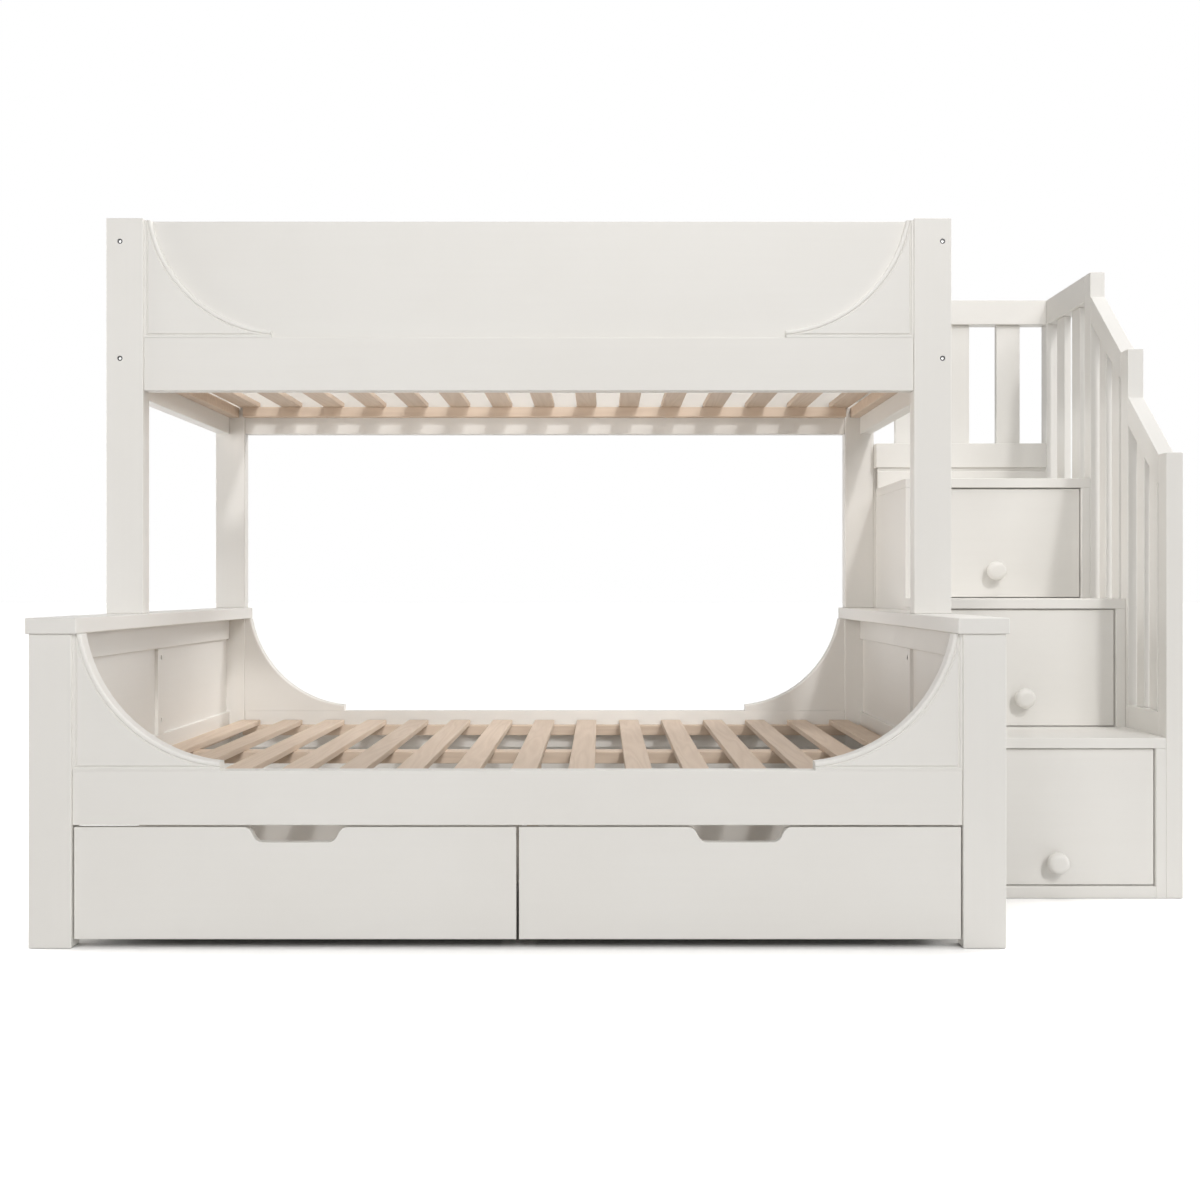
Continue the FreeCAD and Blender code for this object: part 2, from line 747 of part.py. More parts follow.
UPPER_RAILS = {"front": "upper_front + rail_recess", "rear": "rear - rail_recess - rail_thick"}
UPPER_GUARDS = {
    "front": "upper_front + rail_recess + overlay_thick",
    "rear": "rear - rail_recess - rail_thick",
}
for row in UPPER_ROWS:
    rail_size = ("between_legs", "rail_thick", "upper_rail_high")
    rail_corner = ("left_leg_inside", UPPER_RAILS[row], "upper_rail_base")
    node(f"upper_rail_{row}", board(f"upper_rail_{row}", rail_corner, rail_size))
    guard_size = ("between_legs", "guard_panel_thick", "guard_panel_high")
    guard_corner = ("left_leg_inside", UPPER_GUARDS[row], "upper_rail_top")
    node(f"upper_guard_{row}", board(f"upper_guard_{row}", guard_corner, guard_size))

UPPER_CORNER = ("upper_rail_top", "guard_panel_high", "overlay_thick", False)
corner_pair("upper_corners_front", "upper_front + rail_recess", 1, *UPPER_CORNER)
corner_pair("upper_corners_rear", "rear - rail_recess", -1, *UPPER_CORNER)


def bolted(name, piece, *places):
    spaces = []
    for place_name in places:
        spaces += bolt_spaces[place_name]
    return without(name, piece, *spaces)


def upper_end_left():
    """Rails above and below, a stile between them and two panels."""
    name = "upper_end_left"
    low_y = "upper_inside_front"
    high_y = "upper_inside_rear"
    stile_low = f"({low_y} + {high_y} - stile_wide) / 2"
    stile_high = f"({low_y} + {high_y} + stile_wide) / 2"
    span = "upper_end_top_base - upper_rail_top"
    bottom = end_rail(name + "_bottom", "left", low_y, high_y, "upper_rail_base", "upper_rail_high")
    top = end_rail(name + "_top", "left", low_y, high_y, "upper_end_top_base", "upper_end_top_high")
    stile = end_rail(name + "_stile", "left", stile_low, stile_high, "upper_rail_top", span)
    bottom = bolted(name + "_bottom_drilled", bottom, "front_left_low", "rear_left_low")
    top = bolted(name + "_top_drilled", top, "front_left_high", "rear_left_high")
    panels = [
        end_panel(name + "_front_panel", "left", low_y, stile_low, "upper_rail_top", "upper_end_top_base"),
        end_panel(name + "_rear_panel", "left", stile_high, high_y, "upper_rail_top", "upper_end_top_base"),
    ]
    node(name, bottom, top, stile, *panels)


def upper_end_right():
    """A rail below, and a panel only in front of the way in from the stairs."""
    name = "upper_end_right"
    low_y = "upper_inside_front"
    post_low = "entry_front - entry_post_wide"
    high_y = "upper_inside_rear"
    bottom = end_rail(name + "_bottom", "right", low_y, high_y, "upper_rail_base", "upper_rail_high")
    bottom = bolted(name + "_bottom_drilled", bottom, "front_right_low", "rear_right_low")
    top = end_rail(name + "_top", "right", low_y, post_low, "upper_end_top_base", "upper_end_top_high")
    top = bolted(name + "_top_drilled", top, "front_right_high")
    post = end_rail(name + "_post", "right", post_low, "entry_front", "upper_rail_top", "guard_panel_high")
    panel = end_panel(name + "_panel", "right", low_y, post_low, "upper_rail_top", "upper_end_top_base")
    node(name, bottom, top, post, panel)


upper_end_left()
upper_end_right()

upper_ledges = ledge_frame(
    "upper_ledge",
    "upper_front + lower_rail_inside",
    "rear - lower_rail_inside - ledge_wide",
    "upper_inside_front",
    "upper_inside_rear",
    "upper_slat_base",
)
node("upper_slat_ledges", *upper_ledges)
node("upper_slats", *slat_row("upper_slat", "upper_front", "upper_slat_base"))


# Drawers under the bed

def notched_front(name, left):
    """A drawer front with a finger notch in the middle of its top edge."""
    mouth_left = "(drawer_wide - notch_mouth) / 2"
    mouth_right = "(drawer_wide + notch_mouth) / 2"
    floor_left = "(drawer_wide - notch_floor) / 2"
    floor_right = "(drawer_wide + notch_floor) / 2"
    floor_up = "drawer_high - notch_deep"
    points = [
        ("0", "0"),
        ("drawer_wide", "0"),
        ("drawer_wide", "drawer_high"),
        (mouth_right, "drawer_high"),
        (floor_right, floor_up),
        (floor_left, floor_up),
        (mouth_left, "drawer_high"),
        ("0", "drawer_high"),
    ]
    corner = (left, "drawer_front", "drawer_base")
    body = padded_body(name, "XZ_Plane", points, "drawer_thick", corner, True)
    low, high = number(mouth_left), number(mouth_right)
    near = number("edge_round")

    def notch_corner(edge):
        spot = edge.CenterOfMass
        return runs_along(edge, 1) and low - near < spot.x < high + near and spot.z > near

    body_fillet(body, name + "_notch", "notch_round", notch_corner)
    body_fillet(body, name + "_soft", "edge_round", lambda edge: edge.BoundBox.YMax < near)
    return body


def drawer_box(name, left, front_y, base, wide, depth, high, board_thick, bottom_thick):
    """A tray: a bottom with two sides and a back on it. Its front board closes it."""
    wall_base = f"{base} + {bottom_thick}"
    wall_high = f"{high} - {bottom_thick}"
    side_size = (board_thick, depth, wall_high)
    right = f"{left} + {wide} - {board_thick}"
    back_y = f"{front_y} + {depth} - {board_thick}"
    back_size = (f"{wide} - 2 * {board_thick}", board_thick, wall_high)
    return [
        board(name + "_bottom", (left, front_y, base), (wide, depth, bottom_thick), "fine_round"),
        board(name + "_left", (left, front_y, wall_base), side_size, "fine_round"),
        board(name + "_right", (right, front_y, wall_base), side_size, "fine_round"),
        board(name + "_back", (f"{left} + {board_thick}", back_y, wall_base), back_size, "fine_round"),
    ]


def castor_bracket(name, x, y):
    """A plate with two cheeks and an axle between them, under a drawer's bottom."""
    cheek_base = "wheel_axis - axle_diameter"
    cheek_size = ("cheek_thick", "cheek_wide", f"castor_high - cheek_thick - ({cheek_base})")
    inside = "wheel_wide + 2 * clearance"
    low_x = f"{x} - ({inside}) / 2 - cheek_thick"
    high_x = f"{x} + ({inside}) / 2"
    cheek_y = f"{y} - cheek_wide / 2"
    plate = block(
        name + "_plate",
        (low_x, f"{y} - plate_long / 2", "castor_high - cheek_thick"),
        (f"{inside} + 2 * cheek_thick", "plate_long", "cheek_thick"),
    )
    low = block(name + "_low_cheek", (low_x, cheek_y, cheek_base), cheek_size)
    high = block(name + "_high_cheek", (high_x, cheek_y, cheek_base), cheek_size)
    axle = rod(name + "_axle", (f"{low_x} + cheek_thick", y, "wheel_axis"), "+X", "axle_diameter", inside)
    return [plate, low, high, axle]


def wheel(name, x, y):
    start = f"{x} - wheel_wide / 2"
    tyre = rod(name + "_tyre", (start, y, "wheel_axis"), "+X", "wheel_diameter", "wheel_wide")
    tyre = softened(name + "_soft", tyre, "edge_round", is_round)
    bore = rod(
        name + "_bore",
        (f"{start} - overrun", y, "wheel_axis"),
        "+X",
        "axle_diameter + 2 * axle_fit",
        "wheel_wide + 2 * overrun",
    )
    return without(name, tyre, bore)


BED_DRAWERS = {
    "left": "left_leg_inside + drawer_side_gap",
    "right": "right_leg_inside - drawer_side_gap - drawer_wide",
}
for side, left in BED_DRAWERS.items():
    name = f"bed_drawer_{side}"
    box_left = f"{left} + box_inset"
    box_wide = "(drawer_wide - 2 * box_inset)"
    node(name + "_front", notched_front(name + "_front", left))
    tray = (box_wide, "box_depth", "box_high", "board_thick", "box_bottom_thick")
    box = drawer_box(name + "_box", box_left, "box_front", "castor_high", *tray)
    node(name + "_box", *box)
    castor_x = [f"{box_left} + castor_inset", f"{box_left} + {box_wide} - castor_inset"]
    castor_y = {"front": "box_front + castor_inset", "rear": "box_front + box_depth - castor_inset"}
    brackets = []
    for row, y in castor_y.items():
        wheels = []
        for count, x in enumerate(castor_x, start=1):
            brackets += castor_bracket(f"{name}_castor_{row}_{count}", x, y)
            wheels.append(wheel(f"{name}_wheel_{row}_{count}", x, y))
        node(f"{name}_wheels_{row}", *wheels)
    node(name + "_castors", *brackets)


# Carcass of the stairs

def stair_side(name, x):
    """A stepped side board under the three treads."""
    depth = "back_face - riser_1"
    tops = [f"tread_top_{count} - tread_thick" for count in (1, 2, 3)]
    points = [
        ("0", "0"),
        (depth, "0"),
        (depth, tops[2]),
        ("2 * step_run", tops[2]),
        ("2 * step_run", tops[1]),
        ("step_run", tops[1]),
        ("step_run", tops[0]),
        ("0", tops[0]),
    ]
    body = padded_body(name, "YZ_Plane", points, "stair_side_thick", (x, "riser_1", "0"))
    last_front = number("2 * step_run + edge_round")

    def front_edge(edge):
        return runs_along(edge, 2) and edge.CenterOfMass.y < last_front

    body_fillet(body, name + "_soft", "edge_round", front_edge)
    return body


left_side = stair_side("stair_side_left_board", "stair_left")
node("stair_side_left", bolted("stair_side_left", left_side, "stair_high", "stair_low"))
node("stair_side_right", stair_side("stair_side_right", "stair_right - stair_side_thick"))


def stair_back():
    """A back behind both sides that reaches the bed's post above the cap."""
    over_cap = "cap_top + clearance"
    points = [
        ("cap_overhang", "0"),
        ("cap_overhang + stair_wide", "0"),
        ("cap_overhang + stair_wide", "back_rail_base"),
        ("0", "back_rail_base"),
        ("0", over_cap),
        ("cap_overhang", over_cap),
    ]
    corner = ("bed_right", "back_face", "0")
    body = padded_body("stair_back", "XZ_Plane", points, "stair_back_thick", corner, True)
    rear_face = number("stair_back_thick - fine_round")
    body_fillet(body, "stair_back_soft", "fine_round", lambda edge: edge.BoundBox.YMin > rear_face)
    return body


node("stair_back", stair_back())


def stepped_tread(count):
    """A tread over both sides, with a tongue that reaches back between them."""
    name = f"stair_tread_{count}"
    base = f"tread_top_{count} - tread_thick"
    top_size = ("stair_wide", "step_run", "tread_thick")
    top = board(name + "_top", ("stair_left", f"riser_{count}", base), top_size)
    tongue_corner = ("stair_left + stair_side_thick", f"riser_{count + 1} - tread_tongue", base)
    tongue = block(name + "_tongue", tongue_corner, ("carcass_inside", "2 * tread_tongue", "tread_thick"))
    whole = doc.addObject("Part::Fuse", name)
    whole.Base = top
    whole.Tool = tongue
    whole.Refine = True
    node(name, whole)


stepped_tread(1)
stepped_tread(2)
landing_corner = ("stair_left", "riser_3", "tread_top_3 - tread_thick")
landing_size = ("stair_wide", "back_face - riser_3", "tread_thick")
node("stair_tread_3", board("stair_tread_3", landing_corner, landing_size))

plinth = board(
    "stair_plinth",
    ("stair_left + stair_side_thick", "riser_1", "0"),
    ("carcass_inside", "kickboard_thick", "plinth_high"),
)


def landing_upstand():
    """A board behind the landing, with a shallow gap between its face and the low rail above."""
    points = [
        ("0", "0"),
        ("kickboard_thick", "0"),
        ("kickboard_thick", "upstand_high + upstand_gap"),
        ("upstand_gap_deep", "upstand_high + upstand_gap"),
        ("upstand_gap_deep", "upstand_high"),
        ("0", "upstand_high"),
    ]
    corner = ("stair_left", "guard_back", "tread_top_3")
    body = padded_body("landing_upstand", "YZ_Plane", points, "stair_wide", corner)
    near = number("fine_round")

    def top_edge(edge):
        return runs_along(edge, 0) and edge.CenterOfMass.y < near < edge.CenterOfMass.z

    body_fillet(body, "landing_upstand_soft", "edge_round", top_edge)
    return body


node("stair_kickboards", plinth, landing_upstand())


# Drawers of the stairs and the runners that carry them

STAIR_FRONTS = {
    1: ("plinth_high + front_gap", "first_knob_lift"),
    2: ("tread_top_1 + front_gap", "knob_lift"),
    3: ("tread_top_2 + front_gap", "knob_lift"),
}


def knob(name, front_y, height):
    """A turned knob with a narrow neck and a ball-like head."""
    body = doc.addObject("PartDesign::Body", name)
    sketch = body_sketch(body, "XY_Plane", name + "_outline")
    points = [
        ("0", "0"),
        ("knob_neck_diameter / 2", "0"),
        ("knob_neck_diameter / 2", "knob_neck_long"),
        ("knob_diameter / 2", "knob_neck_long"),
        ("knob_diameter / 2", "knob_depth"),
        ("0", "knob_depth"),
    ]
    outline(sketch, points)
    turned = body.newObject("PartDesign::Revolution", name + "_turned")
    turned.Profile = sketch
    turned.ReferenceAxis = (sketch, ["V_Axis"])
    turned.Angle = 360
    half_turn = FreeCAD.Rotation(FreeCAD.Vector(0, 0, 1), 180)
    body.Placement = FreeCAD.Placement(FreeCAD.Vector(), half_turn)
    place(body, ("stair_left + stair_wide / 2 - knob_shift", front_y, height))
    doc.recompute()
    rim = number("(knob_diameter + knob_neck_diameter) / 4")
    body_fillet(body, name + "_soft", "knob_round", lambda edge: is_round(edge) and edge.Curve.Radius > rim)
    return body


runners = []
for count, (base, lift) in STAIR_FRONTS.items():
    name = f"stair_drawer_{count}"
    front_y = f"riser_{count} + front_recess"
    box_y = f"{front_y} + front_thick"
    top = f"tread_top_{count} - tread_thick - front_gap"
    box_base = f"{base} + stair_box_lift"
    box_high = f"{top} - ({box_base}) - stair_box_drop"
    depth = f"back_face - ({box_y}) - stair_box_back_gap"
    front_size = ("stair_front_wide", "front_thick", f"{top} - ({base})")
    node(name + "_front", board(name + "_front", ("stair_front_left", front_y, base), front_size))
    tray = ("stair_box_wide", depth, box_high, "stair_board_thick", "stair_bottom_thick")
    box = drawer_box(name + "_box", "stair_box_left", box_y, box_base, *tray)
    node(name + "_box", *box)
    node(name + "_knob", knob(name + "_knob", front_y, f"{base} + {lift}"))
    runner_base = f"{box_base} - clearance - runner_high"
    runner_size = ("runner_wide", depth, "runner_high")
    runner_left = "stair_left + stair_side_thick"
    runner_right = "stair_right - stair_side_thick - runner_wide"
    runners.append(board(name + "_left_runner", (runner_left, box_y, runner_base), runner_size))
    runners.append(board(name + "_right_runner", (runner_right, box_y, runner_base), runner_size))
node("stair_runners", *runners)


# Hand rails: posts, rails and balusters on the outer side and behind the landing

def sloped(name, corner, wide, run, low, high, rise_low, rise_high):
    """A piece along Y with upright ends, low to high at its front and rise_low to rise_high at its rear."""
    wedge = doc.addObject("Part::Wedge", name + "_wedge")
    bind(wedge, Xmin="0", X2min="0", Ymin="0", Xmax=wide, X2max=wide, Ymax=run)
    bind(wedge, Zmin=low, Zmax=high, Z2min=rise_low, Z2max=rise_high)
    place(wedge, corner)
    return all_softened(name, wedge, number("edge_round"))


GUARD_POSTS = {
    "front": ("riser_1", "front_post_top"),
    "middle": ("middle_post", "middle_post_top"),
    "upper": ("riser_3", "guard_top"),
    "rear": ("guard_back", "guard_top"),
}
posts = []
for name, (y, top) in GUARD_POSTS.items():
    size = ("guard_wide", "guard_post_deep", top)
    posts.append(board(f"guard_post_{name}", ("stair_right", y, "0"), size))
node("guard_posts", *posts)

# Each stretch of hand rail: the post in front of it, its run, its tread and how far its kick rail
# rises above that, its height, slope and balusters
SLOPED = (GUARD_SLOPE_SHARE, "slope_baluster_wide")
LEVEL = (0, "level_baluster_wide")
STRETCHES = {
    "front": ("riser_1", "front_run", "tread_top_1", "kick_high", "front_post_top", *SLOPED),
    "middle": ("middle_post", "middle_run", "tread_top_2", "0", "middle_post_top", *SLOPED),
    "level": ("riser_3", "level_run", "tread_top_3", "0", "guard_top", *LEVEL),
}
rails = []
balusters = []
for name, (post, run, tread, kick, top, slope, wide) in STRETCHES.items():
    start = f"{post} + guard_post_deep"
    kick_top = f"{tread} + {kick}"
    rise = f"{slope} * {run}"
    rails.append(
        sloped(
            f"guard_top_rail_{name}",
            ("stair_right", start, "0"),
            "guard_wide",
            run,
            f"{top} - guard_rail_high",
            top,
            f"{top} - guard_rail_high + {rise}",
            f"{top} + {rise}",
        )
    )
    kick_corner = ("stair_right", start, f"{kick_top} - guard_rail_high")
    kick_size = ("guard_wide", run, "guard_rail_high")
    rails.append(board(f"guard_kick_rail_{name}", kick_corner, kick_size))
    gap = f"({run} - 2 * {wide}) / 3"
    for count in (0, 1):
        near = f"({gap} + {count} * ({gap} + {wide}))"
        under = f"{top} - guard_rail_high + {slope} * {near}"
        balusters.append(
            sloped(
                f"baluster_{name}_{count + 1}",
                ("stair_right + (guard_wide - baluster_thick) / 2", f"{start} + {near}", "0"),
                "baluster_thick",
                wide,
                kick_top,
                under,
                kick_top,
                f"{under} + {slope} * {wide}",
            )
        )

back_run = "stair_right - bed_right"
back_size = (back_run, "guard_post_deep", "guard_rail_high")
rails.append(board("back_top_rail", ("bed_right", "guard_back", "guard_top - guard_rail_high"), back_size))
rails.append(board("back_low_rail", ("bed_right", "guard_back", "back_rail_base"), back_size))
back_high = "guard_top - 2 * guard_rail_high - back_rail_base"
for count in range(BACK_BALUSTERS):
    offset = f"{count - (BACK_BALUSTERS - 1) / 2} * back_baluster_pitch"
    corner = (
        f"(bed_right + stair_right - back_baluster_wide) / 2 - back_baluster_shift + {offset}",
        "guard_back + (guard_post_deep - baluster_thick) / 2",
        "back_rail_base + guard_rail_high",
    )
    size = ("back_baluster_wide", "baluster_thick", back_high)
    balusters.append(board(f"back_baluster_{count + 1}", corner, size))
node("guard_rails", *rails)
node("guard_balusters", *balusters)


# Test every object, then write one file for each sub-part
doc.recompute()
for item in doc.Objects:
    if "Invalid" in item.State or "Error" in item.State:
        raise RuntimeError(f"{item.Label} failed: {item.State}")
for item in nodes:
    if item.Shape.isNull() or not item.Shape.isValid():
        raise RuntimeError(f"{item.Label} has no valid shape")

os.makedirs("parts", exist_ok=True)
for item in nodes:
    item.Shape.exportStep(os.path.join("parts", item.Label + ".step"))
print(len(nodes), "sub-parts,", sum(len(item.Shape.Solids) for item in nodes), "solids")
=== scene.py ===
import math

import bmesh
import bpy
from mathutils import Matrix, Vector

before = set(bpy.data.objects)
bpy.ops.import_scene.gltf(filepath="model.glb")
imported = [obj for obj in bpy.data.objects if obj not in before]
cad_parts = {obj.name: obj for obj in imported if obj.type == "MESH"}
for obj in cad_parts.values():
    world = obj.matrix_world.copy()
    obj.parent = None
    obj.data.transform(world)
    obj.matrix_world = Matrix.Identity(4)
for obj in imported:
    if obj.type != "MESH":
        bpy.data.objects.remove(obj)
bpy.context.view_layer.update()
scene = bpy.context.scene
scene.view_settings.view_transform = "Standard"


# Building blocks of the materials

# Most values of a noise lie between these two
NOISE_LOW = 0.3
NOISE_HIGH = 0.7


def new_material(name):
    material = bpy.data.materials.new(name)
    material.use_nodes = True
    return material, material.node_tree, material.node_tree.nodes["Principled BSDF"]


def feed(tree, socket, value):
    """Links an input to an output socket, or sets it to a plain value."""
    if isinstance(value, bpy.types.NodeSocket):
        tree.links.new(value, socket)
    else:
        socket.default_value = value


def add(tree, kind, **values):
    """A node with its inputs and its settings given by name."""
    node = tree.nodes.new("ShaderNode" + kind)
    for name, value in values.items():
        if name in node.inputs:
            feed(tree, node.inputs[name], value)
        else:
            setattr(node, name, value)
    return node


def math_node(tree, operation, *values):
    node = add(tree, "Math", operation=operation)
    for socket, value in zip(node.inputs, values):
        feed(tree, socket, value)
    return node.outputs[0]


def spread(tree, value, low, high):
    """A value from 0 to 1 spread over another range."""
    node = add(tree, "MapRange", Value=value)
    node.inputs["To Min"].default_value = low
    node.inputs["To Max"].default_value = high
    return node.outputs["Result"]


def ramp(tree, value, low, high):
    """A colour that runs from one to another; each end is a value and its colour."""
    node = add(tree, "ValToRGB", Fac=value)
    for element, (position, colour) in zip(node.color_ramp.elements, (low, high)):
        element.position = position
        element.color = (*colour, 1)
    return node.outputs["Color"]


def mixed(tree, amount, first, second):
    """The first colour where the amount is 0, the second where it is 1."""
    node = add(tree, "Mix", data_type="RGBA")
    sockets = {socket.name: socket for socket in node.inputs if socket.enabled}
    feed(tree, sockets["Factor"], amount)
    feed(tree, sockets["A"], first)
    feed(tree, sockets["B"], second)
    return [socket for socket in node.outputs if socket.enabled][0]


def object_place(tree):
    return add(tree, "TexCoord").outputs["Object"]


def along(tree, axis, lengthwise, crosswise):
    """Object coordinates, stretched along one axis."""
    scale = [crosswise] * 3
    scale["XYZ".index(axis)] = lengthwise
    return add(tree, "Mapping", Vector=object_place(tree), Scale=scale).outputs["Vector"]


def noise(tree, place, **values):
    return add(tree, "TexNoise", Vector=place, **values).outputs["Fac"]


def surface(tree, shader, colour, roughness, height, strength, distance):
    """Gives a material its colour, its roughness and a fine relief."""
    tree.links.new(colour, shader.inputs["Base Color"])
    tree.links.new(roughness, shader.inputs["Roughness"])
    bump = add(tree, "Bump", Strength=strength, Distance=distance, Height=height)
    tree.links.new(bump.outputs["Normal"], shader.inputs["Normal"])


# Satin paint over wood

PAINT = (0.815, 0.800, 0.768)
PAINT_SHADE = (0.795, 0.777, 0.742)
PAINT_FULL_TONE = 0.66
PAINT_GRAIN_DEPTH = 0.8


def paint(name, axis):
    """Satin white paint: a film with a fine skin, and the grain of the board faint beneath it."""
    material, tree, shader = new_material(name)
    place = object_place(tree)
    fibres = along(tree, axis, lengthwise=2.2, crosswise=95)
    grain = noise(tree, fibres, Scale=1, Detail=5, Roughness=0.6)
    skin = noise(tree, place, Scale=520, Detail=2, Roughness=0.5)
    cloud = noise(tree, place, Scale=2.3, Detail=3, Roughness=0.55)
    tone = math_node(tree, "MULTIPLY", cloud, spread(tree, grain, low=0.7, high=1.3))
    colour = ramp(tree, tone, (NOISE_LOW, PAINT_SHADE), (PAINT_FULL_TONE, PAINT))
    roughness = spread(tree, cloud, low=0.36, high=0.5)
    ridges = math_node(tree, "MULTIPLY", grain, PAINT_GRAIN_DEPTH)
    relief = math_node(tree, "ADD", ridges, skin)
    surface(tree, shader, colour, roughness, relief, strength=0.06, distance=0.0006)
    return material


# Bare wood of the slats, their ledges and the beam

WOOD_LIGHT = (0.72, 0.575, 0.448)
WOOD_DARK = (0.62, 0.478, 0.36)
WOOD_LIGHT_UP_TO = 0.1
WOOD_DARK_FROM = 1.0
BOARD_SHIFT = 7.0
RINGS = 7.0
HALF_RING = 0.5


def bare_wood(name, axis, pitch_axis, first, pitch):
    """Planed wood: each board has its own tone and its own run of grain."""
    material, tree, shader = new_material(name)
    parts = add(tree, "SeparateXYZ", Vector=object_place(tree))
    across = math_node(tree, "SUBTRACT", parts.outputs[pitch_axis], first)
    count = math_node(tree, "FLOOR", math_node(tree, "DIVIDE", across, pitch))
    chance = add(tree, "TexWhiteNoise", noise_dimensions="1D", W=count)
    shift = add(tree, "VectorMath", operation="SCALE", Scale=BOARD_SHIFT)
    tree.links.new(chance.outputs["Color"], shift.inputs[0])
    moved = add(tree, "VectorMath", operation="ADD")
    tree.links.new(along(tree, axis, lengthwise=0.9, crosswise=13), moved.inputs[0])
    tree.links.new(shift.outputs[0], moved.inputs[1])
    broad = noise(tree, moved.outputs[0], Scale=1.6, Detail=2, Roughness=0.4, Distortion=0.4)
    rings = math_node(tree, "FRACT", math_node(tree, "MULTIPLY", broad, RINGS))
    rings = math_node(tree, "PINGPONG", rings, HALF_RING)
    fibres = along(tree, axis, lengthwise=9, crosswise=620)
    pores = noise(tree, fibres, Scale=1, Detail=3, Roughness=0.6)
    bands = spread(tree, rings, low=0, high=1.1)
    figure = math_node(tree, "ADD", bands, spread(tree, pores, low=-0.14, high=0.26))
    colour = ramp(tree, figure, (WOOD_LIGHT_UP_TO, WOOD_LIGHT), (WOOD_DARK_FROM, WOOD_DARK))
    own = spread(tree, chance.outputs["Value"], low=0.9, high=1.06)
    toned = add(tree, "HueSaturation", Saturation=0.92, Value=own, Color=colour).outputs["Color"]
    roughness = spread(tree, pores, low=0.5, high=0.68)
    surface(tree, shader, toned, roughness, figure, strength=0.12, distance=0.0005)
    return material


# Coated board of the drawer trays

COAT_SHADE = (0.80, 0.78, 0.74)
COAT = (0.84, 0.82, 0.785)


def drawer_board():
    """Matt coat with a very fine even texture."""
    material, tree, shader = new_material("drawer_board_coat")
    place = object_place(tree)
    fine = noise(tree, place, Scale=800, Detail=2)
    cloud = noise(tree, place, Scale=3, Detail=2)
    colour = ramp(tree, cloud, (NOISE_LOW, COAT_SHADE), (NOISE_HIGH, COAT))
    roughness = spread(tree, fine, low=0.5, high=0.7)
    surface(tree, shader, colour, roughness, fine, strength=0.1, distance=0.0003)
    return material


# Zinc-coated steel of bolts, dowels and castors

SOCKET_DARK = (0.78, 0.78, 0.76)
SOCKET_LIGHT = (0.9, 0.9, 0.88)
ROUGHNESS_SWING = 0.08

# The bolts of the upper posts, in X and Z: the middle between them and each one's distance from it
BOLT_MIDDLE = (-0.2675, 1.4185)
BOLT_REACH = (0.973, 0.1385)
SOCKET_RADIUS = 0.0029


def socket_ground(tree, place):
    """1 in the socket of each bolt through the upper posts and 0 elsewhere."""
    parts = add(tree, "SeparateXYZ", Vector=place)
    square = []
    for axis, middle, reach in zip("XZ", BOLT_MIDDLE, BOLT_REACH):
        side = math_node(tree, "ABSOLUTE", math_node(tree, "SUBTRACT", parts.outputs[axis], middle))
        off = math_node(tree, "SUBTRACT", side, reach)
        square.append(math_node(tree, "MULTIPLY", off, off))
    radius = math_node(tree, "SQRT", math_node(tree, "ADD", *square))
    return math_node(tree, "LESS_THAN", radius, SOCKET_RADIUS)


def metal(name, dark, light, roughness, scale, core=None):
    """Steel with a mottled coat; core, where given, marks out the bright ground of the sockets."""
    material, tree, shader = new_material(name)
    place = object_place(tree)
    mottle = noise(tree, place, Scale=scale, Detail=3, Roughness=0.6)
    colour = ramp(tree, mottle, (NOISE_LOW, dark), (NOISE_HIGH, light))
    if core:
        bright = ramp(tree, mottle, (NOISE_LOW, SOCKET_DARK), (NOISE_HIGH, SOCKET_LIGHT))
        colour = mixed(tree, core(tree, place), colour, bright)
    shader.inputs["Metallic"].default_value = 1
    uneven = spread(tree, mottle, roughness - ROUGHNESS_SWING, roughness + ROUGHNESS_SWING)
    surface(tree, shader, colour, uneven, mottle, strength=0.08, distance=0.0002)
    return material


# Moulded plastic of the wheels

PLASTIC_DARK = (0.018, 0.018, 0.019)
PLASTIC_LIGHT = (0.03, 0.03, 0.031)


def wheel_plastic():
    material, tree, shader = new_material("wheel_moulded_plastic")
    grain = noise(tree, object_place(tree), Scale=900, Detail=2)
    colour = ramp(tree, grain, (NOISE_LOW, PLASTIC_DARK), (NOISE_HIGH, PLASTIC_LIGHT))
    roughness = spread(tree, grain, low=0.45, high=0.6)
    surface(tree, shader, colour, roughness, grain, strength=0.15, distance=0.0003)
    return material


# Each piece gets its finish; a board's tone changes in the space between two slats

BED_LEFT = -1.2735
BED_LENGTH = 2.0
SLATS = 15
SLAT_WIDE = 0.059
SLAT_START = 0.078
HALF_SPACE = 0.035
SLAT_PITCH = (BED_LENGTH - 2 * SLAT_START - SLAT_WIDE) / (SLATS - 1)
FIRST_SLAT = BED_LEFT + SLAT_START - HALF_SPACE

paints = {axis: paint(f"white_paint_{axis.lower()}", axis) for axis in "XYZ"}
slat_wood = bare_wood("slat_wood", axis="Y", pitch_axis="X", first=FIRST_SLAT, pitch=SLAT_PITCH)
beam_wood = bare_wood("beam_wood", axis="X", pitch_axis="Y", first=-2.0, pitch=0.3)
board_coat = drawer_board()
dark_steel = metal(
    "bolt_dark_zinc",
    dark=(0.05, 0.05, 0.052),
    light=(0.1, 0.1, 0.105),
    roughness=0.42,
    scale=700,
    core=socket_ground,
)
bright_zinc = metal(
    "bright_zinc",
    dark=(0.62, 0.62, 0.6),
    light=(0.8, 0.8, 0.78),
    roughness=0.3,
    scale=500,
)
plastic = wheel_plastic()

# Words in the names of painted pieces whose grain runs upwards or from front to rear
ALONG_Z = ("leg", "post", "baluster", "stair_side", "stair_back")
ALONG_Y = ("cap_", "_end_", "guard_rails")


